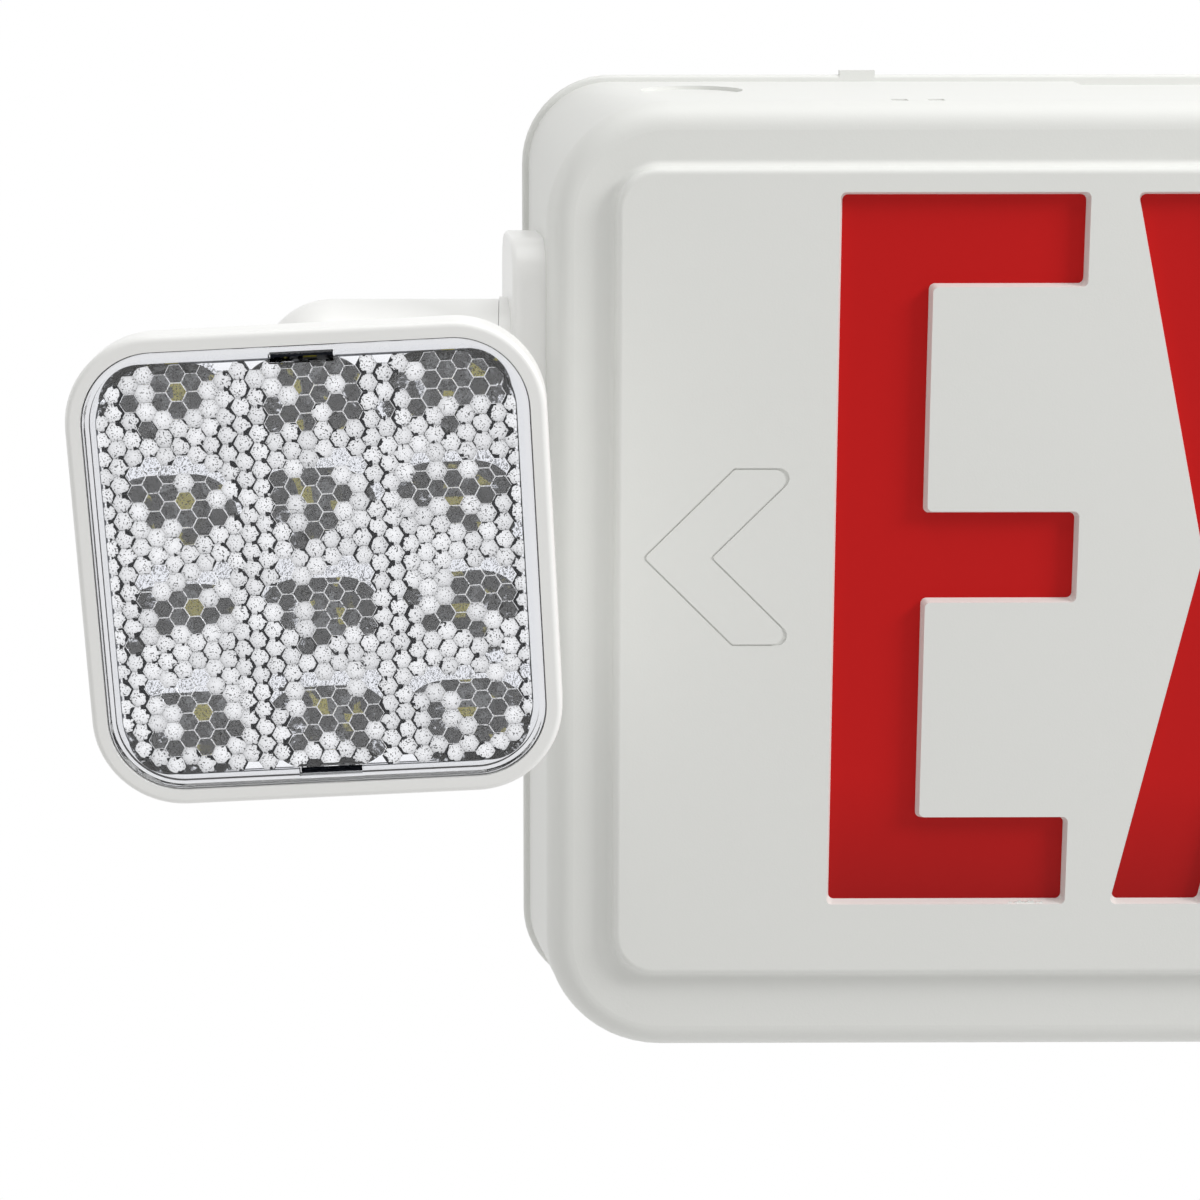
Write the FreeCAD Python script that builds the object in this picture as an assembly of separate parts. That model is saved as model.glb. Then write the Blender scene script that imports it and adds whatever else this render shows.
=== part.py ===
import FreeCAD, Part
import math
import os

# Emergency exit light: an illuminated legend box with two aimable lamp heads.
# Units are mm. X runs to the right, Y into the wall and Z up. The origin is
# the middle of the back face, so the front of the sign looks towards -Y.

V = FreeCAD.Vector

# Box
body_width = 337.0
body_height = 213.0
body_depth = 60.0
body_corner = 19.5
base_thickness = 3.0
base_overhang = 1.45
rim_height = 8.0
rim_thickness = 2.0
fit_gap = 0.3

# Front cover
cover_inset_x = 5.0
cover_inset_z = 4.0
cover_width = body_width - 2 * cover_inset_x
cover_height = body_height - 2 * cover_inset_z
cover_lift = 0.45
cover_corner = 25.0
cover_wall = 2.5
cover_roundover = 5.8
panel_border_x = 14.3
panel_border_z = 15.7
panel_width = cover_width - 2 * panel_border_x
panel_height = cover_height - 2 * panel_border_z
panel_lift = 3.0
panel_corner = 9.0
panel_step = 3.0
panel_edge = 1.5
panel_cove = 1.4

# Legend apertures
legend_margin = 10.6
legend_side_margin = 46.0
legend_height = panel_height - 2 * legend_margin
legend_width = panel_width - 2 * legend_side_margin
legend_lift = 8.5
stroke = 19.5
letter_gap = 9.5
letter_e_narrower = 2.1
letter_x_width = (legend_width - stroke - 3 * letter_gap + letter_e_narrower) / 3
letter_t_width = letter_x_width
letter_e_width = letter_x_width - letter_e_narrower
aperture_draft = 0.6
aperture_corner = 1.2
chevron_margin = 6.1
chevron_tip = panel_width / 2 - chevron_margin
chevron_arm = 18.85
chevron_stroke = 14.25
chevron_corner = 2.2
score_width = 0.35
score_depth = 0.4

# Marks on the top wall
dimple_x = -132.0
dimple_diameter = 22.0
dimple_from_back = 25.0
dimple_depth = 0.8
pad_width = 92.0
pad_depth_back = 35.0
pad_recess = 0.8
latch_positions = (-90.5, -82.9, 82.9, 90.5)
latch_width = 3.4
tab_positions = (-94.0, 94.0)
tab_width = 7.8
tab_rise = 1.0

# Red diffuser
diffuser_margin_x = 7.8
diffuser_margin_z = 5.8
diffuser_width = legend_width + 2 * diffuser_margin_x
diffuser_height = legend_height + 2 * diffuser_margin_z
diffuser_lift = 4.5
diffuser_thickness = 1.6
peg_diameter = 3.2
peg_length = 3.4
peg_clearance = 0.15

# Side bracket and arm
bracket_thickness = 7.0
bracket_depth = 34.0
bracket_height = 60.0
bracket_corner = 8.0
bracket_edge = 1.2
axis_y = -34.0
axis_from_top = 62.4
axis_z = body_height / 2 - axis_from_top
pivot_reach = 44.543
arm_diameter = 32.0
journal_diameter = 24.0
journal_clearance = 0.08
wire_bore = 14.0
collar_diameter = 33.0
collar_stand = 8.643
shoulder_gap = 0.1
pad_inset = 4.557
washer_thickness = 1.0
nut_thickness = 5.0
nut_diameter = 31.0
screw_diameter = 3.5
screw_head = 6.6
screw_head_height = 2.2

# Head knuckle
tongue_thickness = 10.0
tongue_width = 14.0
knuckle_gap = 0.25
pin_diameter = 5.0
pin_clearance = 0.05
pin_head = 8.0
pin_head_height = 3.0

# Pose of a head as photographed, left side
head_tilt = 2.0
head_turn = -1.0
head_lean = -3.0

# Lamp head
head_width = 93.9
head_height = 94.8
head_corner = 17.8
head_depth = 36.0
head_rim = 8.0
head_taper = 10.0
head_wall = 2.2
head_reach = 66.0
head_drop = 27.6
lip_width = 3.1
lens_gap = 0.25
lens_thickness = 2.2
lens_setback = 0.5
lens_corner = 14.7
clip_width = 12.6
clip_height = 1.8
clip_inset = 2.6
led_pitch_x = 27.6
led_pitch_z = 22.1
led_columns = 3
led_rows = 4
led_size = 2.8
led_height = 0.8
cup_mouth_x = 25.6
cup_mouth_z = 17.0
cup_corner = 8.4
cup_floor = 8.0
cup_floor_corner = 2.0
cup_depth = 13.0
cup_wall = 0.6
reflector_plate = 1.4
head_board = 76.0
head_board_corner = 10.0
board_thickness = 1.6
post_diameter = 6.0

# Boards and power parts inside the box
standoff_height = 8.0
standoff_diameter = 7.0
standoff_bore = 2.6
charger_width = 110.0
charger_height = 56.0
charger_x = 62.0
charger_from_bottom = 44.5
charger_z = charger_from_bottom - body_height / 2
legend_board_width = 196.0
legend_board_height = 30.0
legend_board_above_battery = 68.5
legend_led_count = 16
cell_diameter = 14.5
cell_length = 50.5
cell_count = 4
battery_x = -70.0
battery_from_bottom = 46.5
battery_z = battery_from_bottom - body_height / 2
legend_board_z = battery_z + legend_board_above_battery
strap_width = 12.0
strap_thickness = 1.6
button_x = 36.0
button_y = -30.0
button_diameter = 9.0
button_clearance = 0.10
button_stand_out = 2.6
button_travel = 2.0
button_flange = 12.5
spring_wire = 0.7
spring_diameter = 8.0
spring_turns = 4
lamp_x = 20.0
lamp_diameter = 5.0
keyhole_spacing = 240.0
keyhole_z = 52.0
keyhole_head = 9.0
keyhole_shank = 4.6
box_hole_spacing = 88.9
box_hole = 4.6
wire_hole = 22.0


def rounded_wire(width, height, radius, y, cx=0.0, cz=0.0):
    """Rounded rectangle in an XZ plane, as one closed wire."""
    hw = width / 2.0
    hh = height / 2.0
    k = radius * math.sqrt(0.5)
    corners = []
    for sx, sz in ((1, 1), (-1, 1), (-1, -1), (1, -1)):
        corners.append((cx + sx * (hw - radius), cz + sz * (hh - radius), sx, sz))
    edges = []
    for i in range(4):
        x, z, sx, sz = corners[i]
        side = V(x + sx * radius, y, z)
        top = V(x, y, z + sz * radius)
        mid = V(x + sx * k, y, z + sz * k)
        first, last = (side, top) if sx * sz > 0 else (top, side)
        edges.append(Part.Arc(first, mid, last).toShape())
        nx, nz, nsx, nsz = corners[(i + 1) % 4]
        if sx * sz > 0:
            goal = V(nx, y, nz + nsz * radius)
        else:
            goal = V(nx + nsx * radius, y, nz)
        edges.append(Part.makeLine(last, goal))
    return Part.Wire(edges)


def prism(wire, depth):
    """Solid from a wire in an XZ plane, pushed along Y."""
    return Part.Face(wire).extrude(V(0, depth, 0))


def plate(width, height, radius, y0, y1, cx=0.0, cz=0.0):
    return prism(rounded_wire(width, height, radius, y0, cx, cz), y1 - y0)


def box(x0, x1, y0, y1, z0, z1):
    return Part.makeBox(x1 - x0, y1 - y0, z1 - z0, V(x0, y0, z0))


def rod(diameter, start, direction, length):
    return Part.makeCylinder(diameter / 2.0, length, start, direction)


def tube(outer, inner, start, direction, length):
    return rod(outer, start, direction, length).cut(rod(inner, start, direction, length))


def edges_on_plane(shape, y, tolerance=0.01):
    """Edges of a shape that lie wholly in the plane at this Y."""
    found = []
    for edge in shape.Edges:
        bounds = edge.BoundBox
        if abs(bounds.YMin - y) < tolerance and abs(bounds.YMax - y) < tolerance:
            found.append(edge)
    return found


def mirrored(shape):
    return shape.mirror(V(0, 0, 0), V(1, 0, 0))


# Y planes that several parts share
cover_back_y = -base_thickness
panel_face_y = -body_depth
band_y = panel_face_y + panel_step
break_y = band_y + cover_roundover + 0.2
panel_back_y = panel_face_y + cover_wall
rear_width = body_width - 2 * base_overhang
rear_height = body_height - 2 * base_overhang
rear_corner = body_corner - base_overhang


def wall_offset(rear_half, front_half, y):
    """Distance of a drafted side wall from the middle, at a given Y."""
    share = (cover_back_y - y) / (cover_back_y - break_y)
    return rear_half + share * (front_half - rear_half)


def side_wall_x(y):
    return wall_offset(rear_width / 2.0, cover_width / 2.0, y)


def top_wall_z(y):
    return wall_offset(rear_height / 2.0, cover_height / 2.0 + cover_lift, y)


def bottom_wall_z(y):
    return -wall_offset(rear_height / 2.0, cover_height / 2.0 - cover_lift, y)


# Faces of the arm joint, measured out from the side wall where the arm crosses it
arm_wall_x = side_wall_x(axis_y)
collar_face = arm_wall_x + collar_stand
inner_pad_face = arm_wall_x - pad_inset
pivot_x = arm_wall_x + pivot_reach

side_draft = math.degrees(math.atan2(rear_width / 2.0 - cover_width / 2.0, cover_back_y - break_y))


def cover_envelope(inset, front_y, roundover):
    """Drafted box of the cover, made smaller by an inset for its hollow."""
    rear = rounded_wire(rear_width - 2 * inset, rear_height - 2 * inset,
                        rear_corner - inset, cover_back_y)
    front = rounded_wire(cover_width - 2 * inset, cover_height - 2 * inset,
                         cover_corner - inset, break_y, 0.0, cover_lift)
    body = Part.makeLoft([rear, front], True, True)
    cap = prism(front, front_y - break_y)
    cap = cap.makeFillet(roundover, edges_on_plane(cap, front_y))
    return body.fuse(cap)


def letter_outlines():
    """Corner lists of the four block letters, as a legend of plain strokes."""
    top = legend_lift + legend_height / 2.0
    bottom = legend_lift - legend_height / 2.0
    mid = legend_lift
    x = -legend_width / 2.0
    right = x + letter_e_width
    letter_e = [(x, top), (right, top), (right, top - stroke), (x + stroke, top - stroke),
                (x + stroke, mid + stroke / 2), (right, mid + stroke / 2),
                (right, mid - stroke / 2), (x + stroke, mid - stroke / 2),
                (x + stroke, bottom + stroke), (right, bottom + stroke),
                (right, bottom), (x, bottom)]
    x = right + letter_gap
    lean = (letter_x_width - stroke * 1.02) / legend_height
    across = letter_x_width - lean * legend_height
    middle = x + letter_x_width / 2.0
    notch = across / lean / 2.0
    right = x + letter_x_width
    letter_x = [(x, top), (x + across, top), (middle, mid + notch), (right - across, top),
                (right, top), (middle + across / 2, mid), (right, bottom),
                (right - across, bottom), (middle, mid - notch), (x + across, bottom),
                (x, bottom), (middle - across / 2, mid)]
    x = right + letter_gap
    right = x + stroke
    letter_i = [(x, top), (right, top), (right, bottom), (x, bottom)]
    x = right + letter_gap
    right = x + letter_t_width
    middle = x + letter_t_width / 2.0
    letter_t = [(x, top), (right, top), (right, top - stroke),
                (middle + stroke / 2, top - stroke), (middle + stroke / 2, bottom),
                (middle - stroke / 2, bottom), (middle - stroke / 2, top - stroke),
                (x, top - stroke)]
    return [letter_e, letter_x, letter_i, letter_t]


def inset_points(points, distance):
    """Corner list moved inwards by a distance, one corner for each old one."""
    area = 0.0
    count = len(points)
    for i in range(count):
        x0, z0 = points[i]
        x1, z1 = points[(i + 1) % count]
        area += x0 * z1 - x1 * z0
    turn = 1.0 if area > 0 else -1.0
    moved = []
    for i in range(count):
        here = V(points[i][0], points[i][1], 0)
        before = here - V(points[i - 1][0], points[i - 1][1], 0)
        after = V(points[(i + 1) % count][0], points[(i + 1) % count][1], 0) - here
        before.normalize()
        after.normalize()
        side_a = V(-before.y, before.x, 0) * turn
        side_b = V(-after.y, after.x, 0) * turn
        both = side_a + side_b
        shift = both * (distance / (1.0 + side_a.dot(side_b)))
        moved.append((here.x + shift.x, here.y + shift.y))
    return moved


def rounded_outline(points, radii, y):
    """Closed wire through the corners, each rounded by its own radius."""
    count = len(points)
    edges = []
    ends = []
    for i in range(count):
        here = V(points[i][0], y, points[i][1])
        before = V(points[i - 1][0], y, points[i - 1][1]) - here
        after = V(points[(i + 1) % count][0], y, points[(i + 1) % count][1]) - here
        before.normalize()
        after.normalize()
        half = before.getAngle(after) / 2.0
        reach = radii[i] / math.tan(half)
        bisector = before + after
        bisector.normalize()
        centre = here + bisector * (radii[i] / math.sin(half))
        middle = centre - bisector * radii[i]
        ends.append((here + before * reach, middle, here + after * reach))
    for i in range(count):
        first, middle, last = ends[i]
        edges.append(Part.Arc(first, middle, last).toShape())
        edges.append(Part.makeLine(last, ends[(i + 1) % count][0]))
    return Part.Wire(edges)


def aperture(points):
    """Tapered cutter for one letter, wider at the front of the panel."""
    radii = [aperture_corner] * len(points)
    front = rounded_outline(points, radii, panel_face_y - 0.01)
    back_points = inset_points(points, aperture_draft)
    back = rounded_outline(back_points, radii, panel_back_y)
    cutter = Part.makeLoft([front, back], True, True)
    return cutter.fuse(Part.Face(back).extrude(V(0, 1.0, 0)))


def score_outline(distance):
    """Outline of the chevron, moved in by a distance, with round arm ends."""
    tip = -chevron_tip
    z = legend_lift
    arm = chevron_arm
    points = [(tip, z), (tip + arm, z + arm), (tip + chevron_stroke + arm, z + arm),
              (tip + chevron_stroke, z), (tip + chevron_stroke + arm, z - arm),
              (tip + arm, z - arm)]
    radii = [1.0, 1.0, chevron_corner, 0.6, chevron_corner, 1.0]
    return rounded_outline(inset_points(points, distance), radii, panel_face_y - 0.01)


def chevron_score():
    """Scored outline of the breakaway chevron left of the legend."""
    outer = prism(score_outline(-score_width / 2.0), score_depth)
    inner = prism(score_outline(score_width / 2.0), score_depth)
    return outer.cut(inner)


def bracket_screw_points():
    """Centres (y, z) of the two screws that hold one bracket."""
    reach = bracket_height / 2.0 - 7.0
    return [(axis_y, axis_z + reach), (axis_y, axis_z - reach)]


def tilted_rod(diameter, y, z, inwards, outwards):
    """Rod square to the left side wall, measured both ways from its surface."""
    angle = math.radians(side_draft)
    direction = V(-math.cos(angle), -math.sin(angle), 0)
    surface = V(-side_wall_x(y), y, z)
    return rod(diameter, surface - direction * inwards, direction, inwards + outwards)


def make_front_cover():
    shell = cover_envelope(0.0, band_y, cover_roundover)
    panel = plate(panel_width, panel_height, panel_corner, band_y + 1.0, panel_face_y, 0, panel_lift)
    panel = panel.makeFillet(panel_edge, edges_on_plane(panel, panel_face_y))
    shell = shell.fuse(panel).removeSplitter()
    foot = []
    for edge in edges_on_plane(shell, band_y):
        centre = edge.CenterOfMass
        if abs(centre.x) < panel_width / 2 + 0.5 and abs(centre.z - panel_lift) < panel_height / 2 + 0.5:
            foot.append(edge)
    shell = shell.makeFillet(panel_cove, foot)
    hollow = cover_envelope(cover_wall, band_y + cover_wall, cover_roundover - cover_wall)
    pocket = plate(panel_width - 2 * cover_wall, panel_height - 2 * cover_wall,
                   panel_corner - cover_wall, band_y + cover_wall + 1.0, panel_back_y, 0, panel_lift)
    shell = shell.cut(hollow).cut(pocket)
    shell = shell.cut(box(-body_width, body_width, cover_back_y, 5, -body_height, body_height))
    for points in letter_outlines():
        shell = shell.cut(aperture(points))
    score = chevron_score()
    shell = shell.cut(score).cut(mirrored(score))
    shell = cut_top_marks(shell)
    shell = add_side_pads(shell)
    shell = add_pegs(shell)
    return add_bottom_bosses(shell).removeSplitter()


def cut_top_marks(shell):
    """Conduit dimple, canopy pad and latch slots on the top wall."""
    slope = math.degrees(math.atan2(top_wall_z(cover_back_y) - top_wall_z(break_y),
                                    cover_back_y - break_y))
    y = -dimple_from_back
    disc = rod(dimple_diameter, V(0, 0, -dimple_depth), V(0, 0, 1), 6)
    disc.rotate(V(0, 0, 0), V(1, 0, 0), slope)
    disc.translate(V(dimple_x, y, top_wall_z(y)))
    shell = shell.cut(disc)
    slab = box(-pad_width / 2, pad_width / 2, -pad_depth_back, 6, -pad_recess, 6)
    slab.rotate(V(0, 0, 0), V(1, 0, 0), slope)
    slab.translate(V(0, 0, top_wall_z(0)))
    shell = shell.cut(slab)
    for x in latch_positions:
        z = top_wall_z(break_y)
        notch = box(x - latch_width / 2, x + latch_width / 2, break_y - 1.2, break_y + 2.0,
                    z - 0.7, z + 3)
        shell = shell.cut(notch)
    return shell


def add_side_pads(shell):
    """Square seats inside the side walls, with the arm and screw holes."""
    for side in (-1, 1):
        pad = rod(nut_diameter + 5, V(-inner_pad_face, axis_y, axis_z), V(-1, 0, 0), 8)
        pad = pad.common(cover_envelope(cover_wall / 2, band_y + 1, cover_roundover / 2))
        hole = rod(journal_diameter + 1.0, V(-inner_pad_face + 5, axis_y, axis_z), V(-1, 0, 0), 20)
        cutters = []
        for y, z in bracket_screw_points():
            cutters.append(tilted_rod(screw_diameter + 0.4, y, z, 6, 3))
        if side > 0:
            pad = mirrored(pad)
            hole = mirrored(hole)
            cutters = [mirrored(c) for c in cutters]
        shell = shell.fuse(pad).cut(hole)
        for cutter in cutters:
            shell = shell.cut(cutter)
    return shell


def peg_points():
    dx = diffuser_width / 2 - 4.0
    dz = diffuser_height / 2 - 4.0
    return [(sx * dx, diffuser_lift + sz * dz) for sx in (-1, 1) for sz in (-1, 1)]


def add_pegs(shell):
    for x, z in peg_points():
        shell = shell.fuse(rod(peg_diameter, V(x, panel_back_y - 0.5, z), V(0, 1, 0), peg_length + 0.5))
    return shell


def add_bottom_bosses(shell):
    """Flat seats inside the bottom wall for the test button and the lamp."""
    for x, diameter in ((button_x, button_diameter + 2 * button_clearance), (lamp_x, lamp_diameter + 0.1)):
        low = bottom_wall_z(button_y)
        seat = seat_z()
        boss = rod(diameter + 7, V(x, button_y, low + 0.8), V(0, 0, 1), seat - low - 0.8)
        hole = rod(diameter, V(x, button_y, low - 5), V(0, 0, 1), 20)
        shell = shell.fuse(boss).cut(hole)
    return shell


def seat_z():
    return bottom_wall_z(button_y) + cover_wall + 1.5


def make_back_housing():
    base = plate(body_width, body_height, body_corner, 0, -base_thickness)
    outer_edges = edges_on_plane(base, -base_thickness)
    base = base.makeFillet(0.8, outer_edges)
    tip = -base_thickness - rim_height
    inside = cover_wall + fit_gap
    rim_width = 2 * (side_wall_x(tip) - inside)
    rim_tall = 2 * (-bottom_wall_z(tip) - inside)
    corner = body_corner - inside
    ring = plate(rim_width, rim_tall, corner, -base_thickness + 0.5, tip)
    core = plate(rim_width - 2 * rim_thickness, rim_tall - 2 * rim_thickness,
                 corner - rim_thickness, 1 - base_thickness, tip - 1)
    base = base.fuse(ring.cut(core))
    for x in tab_positions:
        tab = box(x - tab_width / 2, x + tab_width / 2, -base_thickness, 0,
                  body_height / 2 - 2, body_height / 2 + tab_rise)
        base = base.fuse(tab)
    for x, z in standoff_points():
        post = rod(standoff_diameter, V(x, -base_thickness + 0.5, z), V(0, -1, 0), standoff_height + 0.5)
        base = base.fuse(post)
        base = base.cut(rod(standoff_bore, V(x, -base_thickness, z), V(0, -1, 0), standoff_height + 1))
    for side in (-1, 1):
        base = base.cut(keyhole(side * keyhole_spacing / 2))
        hole = rod(box_hole, V(side * box_hole_spacing / 2, 1, 0), V(0, -1, 0), base_thickness + 2)
        base = base.cut(hole)
    base = base.cut(rod(wire_hole, V(0, 1, 0), V(0, -1, 0), base_thickness + 2))
    return add_battery_cradle(base).removeSplitter()


def keyhole(x):
    """Keyhole slot for a wall screw, head below and shank above."""
    y = 1.0
    deep = base_thickness + 2
    head = rod(keyhole_head, V(x, y, keyhole_z), V(0, -1, 0), deep)
    shank = rod(keyhole_shank, V(x, y, keyhole_z + 10), V(0, -1, 0), deep)
    slot = box(x - keyhole_shank / 2, x + keyhole_shank / 2, y - deep, y, keyhole_z, keyhole_z + 10)
    return head.fuse(shank).fuse(slot)


def charger_standoffs():
    dx = charger_width / 2 - 5
    dz = charger_height / 2 - 5
    return [(charger_x + sx * dx, charger_z + sz * dz) for sx in (-1, 1) for sz in (-1, 1)]


def legend_standoffs():
    dx = legend_board_width / 2 - 5
    dz = legend_board_height / 2 - 5
    return [(sx * dx, legend_board_z + sz * dz) for sx in (-1, 1) for sz in (-1, 1)]


def standoff_points():
    return charger_standoffs() + legend_standoffs()


def add_battery_cradle(base):
    """Two low cheeks that keep the battery from sliding, and strap posts."""
    half = cell_count * cell_diameter / 2.0
    y0 = -base_thickness
    for side in (-1, 1):
        z = battery_z + side * (half + 1.2)
        base = base.fuse(box(battery_x - 20, battery_x + 20, y0 - 6, y0 + 0.5, z - 0.8, z + 0.8))
        x = battery_x + side * (cell_length / 2 + 1.4)
        base = base.fuse(box(x - 0.8, x + 0.8, y0 - 6, y0 + 0.5, battery_z - 18, battery_z + 18))
    for z in strap_posts():
        post = rod(standoff_diameter, V(battery_x, y0 + 0.5, z), V(0, -1, 0), standoff_height + 0.5)
        base = base.fuse(post)
        base = base.cut(rod(standoff_bore, V(battery_x, y0, z), V(0, -1, 0), standoff_height + 1))
    return base


def strap_posts():
    half = cell_count * cell_diameter / 2.0
    return [battery_z + side * (half + 6.5) for side in (-1, 1)]


def make_battery():
    """Flat pack of cells in one shrink sleeve, with a web between cells."""
    y = -base_thickness - 0.1 - cell_diameter / 2
    pack = None
    for i in range(cell_count):
        z = battery_z + (i - (cell_count - 1) / 2.0) * cell_diameter
        cell = rod(cell_diameter, V(battery_x - cell_length / 2, y, z), V(1, 0, 0), cell_length)
        pack = cell if pack is None else pack.fuse(cell)
    span = (cell_count - 1) * cell_diameter
    web = box(battery_x - cell_length / 2, battery_x + cell_length / 2,
              y - cell_diameter * 0.36, y + cell_diameter * 0.36, battery_z - span / 2, battery_z + span / 2)
    pack = pack.fuse(web)
    return pack.removeSplitter()


def make_battery_strap():
    top = -base_thickness - 0.1 - cell_diameter
    half = cell_count * cell_diameter / 2.0
    foot = -base_thickness - standoff_height
    x0 = battery_x - strap_width / 2
    x1 = battery_x + strap_width / 2
    bridge_half = half + 1.9
    posts = strap_posts()
    bridge = box(x0, x1, top - 0.2 - strap_thickness, top - 0.2,
                 battery_z - bridge_half - strap_thickness, battery_z + bridge_half + strap_thickness)
    strap = bridge
    for side, post in zip((-1, 1), posts):
        inner = battery_z + side * bridge_half
        outer = battery_z + side * (bridge_half + strap_thickness)
        low, high = min(inner, outer), max(inner, outer)
        strap = strap.fuse(box(x0, x1, top - 0.2 - strap_thickness, foot, low, high))
        end = post + side * standoff_diameter / 2
        low, high = min(inner, end), max(inner, end)
        strap = strap.fuse(box(x0, x1, foot - strap_thickness, foot, low, high))
        strap = strap.cut(rod(3.2, V(battery_x, foot + 1, post), V(0, -1, 0), strap_thickness + 2))
    return strap.removeSplitter()


def pan_screw(x, y, z):
    """Small screw driven along +Y; y is the face its head sits on."""
    head = rod(5.4, V(x, y, z), V(0, -1, 0), 1.8)
    head = head.makeFillet(0.6, edges_on_plane(head, y - 1.8))
    shank = rod(standoff_bore - 0.1, V(x, y, z), V(0, 1, 0), 7.0)
    slot = box(x - 1.6, x + 1.6, y - 2.0, y - 1.1, z - 0.35, z + 0.35)
    cross = box(x - 0.35, x + 0.35, y - 2.0, y - 1.1, z - 1.6, z + 1.6)
    return head.fuse(shank).cut(slot).cut(cross)


def make_board_screws():
    y = -base_thickness - standoff_height
    screws = []
    for x, z in standoff_points():
        screws.append(pan_screw(x, y - board_thickness, z))
    for z in strap_posts():
        screws.append(pan_screw(battery_x, y - strap_thickness, z))
    return Part.makeCompound(screws)


def circuit_board(width, height, x, z, points):
    y = -base_thickness - standoff_height
    board = plate(width, height, 2.0, y, y - board_thickness, x, z)
    for px, pz in points:
        board = board.cut(rod(3.2, V(px, y + 1, pz), V(0, -1, 0), board_thickness + 2))
    return board


def board_face_y():
    return -base_thickness - standoff_height - board_thickness


def make_legend_leds():
    leds = []
    y = board_face_y()
    span = legend_board_width - 24
    half = legend_led_count // 2
    for row in (-1, 1):
        for i in range(half):
            x = -span / 2 + i * span / (half - 1)
            z = legend_board_z + row * 7.0
            leds.append(box(x - 1.75, x + 1.75, y - 1.0, y, z - 1.4, z + 1.4))
    return Part.makeCompound(leds)


def make_transformer():
    """Laminated core with its winding bobbin."""
    y = board_face_y()
    x = charger_x - 30
    z = charger_z
    core = box(x - 17, x + 17, y - 24, y - 2, z - 14, z + 14)
    for side in (-1, 1):
        low = min(side * 6, side * 13)
        core = core.cut(box(x + low, x + low + 7, y - 25, y - 1, z - 8, z + 8))
    bobbin = plate(20, 15.6, 2, y - 26, y, x, z)
    winding = bobbin.cut(box(x - 5.9, x + 5.9, y - 27, y + 1, z - 7.9, z + 7.9))
    return core.fuse(winding).fuse(box(x - 17, x + 17, y - 2, y, z - 4, z + 4)).removeSplitter()


def make_board_parts():
    """Capacitors, relay and connector of the charger board."""
    y = board_face_y()
    parts = []
    for x, z, diameter, tall in ((4, 14, 10, 18), (18, 14, 8, 14), (18, -2, 6.3, 11)):
        can = rod(diameter, V(charger_x + x, y, charger_z + z), V(0, -1, 0), tall)
        parts.append(can.makeFillet(0.8, edges_on_plane(can, y - tall)))
    right = charger_x + charger_width / 2 - 9
    parts.append(box(right - 16, right, y - 12, y, charger_z - 20, charger_z - 8))
    parts.append(box(charger_x + 4, charger_x + 20, y - 7, y, charger_z - 20, charger_z - 12))
    return Part.makeCompound(parts)


def make_terminal_block():
    y = board_face_y()
    x = charger_x + charger_width / 2 - 17
    z = charger_z + 8
    block = box(x - 10, x + 10, y - 11, y, z - 5, z + 5)
    for i in (-1, 0, 1):
        block = block.cut(rod(3.6, V(x + i * 6.2, y - 12, z + 1), V(0, 1, 0), 5))
        block = block.cut(box(x + i * 6.2 - 2, x + i * 6.2 + 2, y - 5, y - 1, z - 6, z - 2))
    return block


def switch_board_z():
    """Underside of the little board above the button seat."""
    return seat_z() + 12.0


def make_switch_board():
    """Board on two legs that stand beside the button on the bottom wall."""
    z = switch_board_z()
    x0 = lamp_x - 9
    x1 = button_x + 13
    return box(x0, x1, button_y - 8, button_y + 8, z, z + board_thickness)


def make_switch_bracket():
    """U bracket that carries the switch board on the bottom wall."""
    z0 = bottom_wall_z(button_y) + cover_wall + 0.45
    z1 = switch_board_z()
    legs = None
    for x in (lamp_x - 9, button_x + 11):
        leg = box(x, x + 2, button_y - 7, button_y + 7, z0, z1)
        legs = leg if legs is None else legs.fuse(leg)
    foot_left = box(lamp_x - 15, lamp_x - 9, button_y - 7, button_y + 7, z0, z0 + 1.6)
    foot_right = box(button_x + 13, button_x + 19, button_y - 7, button_y + 7, z0, z0 + 1.6)
    ledge_left = box(lamp_x - 9, lamp_x - 4, button_y - 7, button_y + 7, z1 - 1.6, z1)
    ledge_right = box(button_x + 8, button_x + 13, button_y - 7, button_y + 7, z1 - 1.6, z1)
    return Part.makeCompound([foot_left.fuse(legs.Solids[0]).fuse(ledge_left).removeSplitter(),
                              foot_right.fuse(legs.Solids[1]).fuse(ledge_right).removeSplitter()])


def make_test_switch():
    z = switch_board_z()
    body = box(button_x - 6, button_x + 6, button_y - 6, button_y + 6, z - 4.0, z)
    return body.makeFillet(0.5, [e for e in body.Edges if e.BoundBox.ZLength > 3.0])


def button_flange_z():
    return seat_z() + 0.05


def make_test_button():
    """Push cap with a flange that rests on the seat and a stem to the switch."""
    low = bottom_wall_z(button_y) - button_stand_out
    flange = button_flange_z()
    cap = rod(button_diameter, V(button_x, button_y, low), V(0, 0, 1), flange - low + 0.5)
    rim = [e for e in cap.Edges if e.BoundBox.ZMax < low + 0.01]
    cap = cap.makeFillet(0.8, rim)
    lip = rod(button_flange, V(button_x, button_y, flange), V(0, 0, 1), 1.4)
    stem_top = switch_board_z() - 4.0 - button_travel - 0.2
    stem = rod(4.0, V(button_x, button_y, flange + 1), V(0, 0, 1), stem_top - flange - 1)
    return cap.fuse(lip).fuse(stem).removeSplitter()


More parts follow.
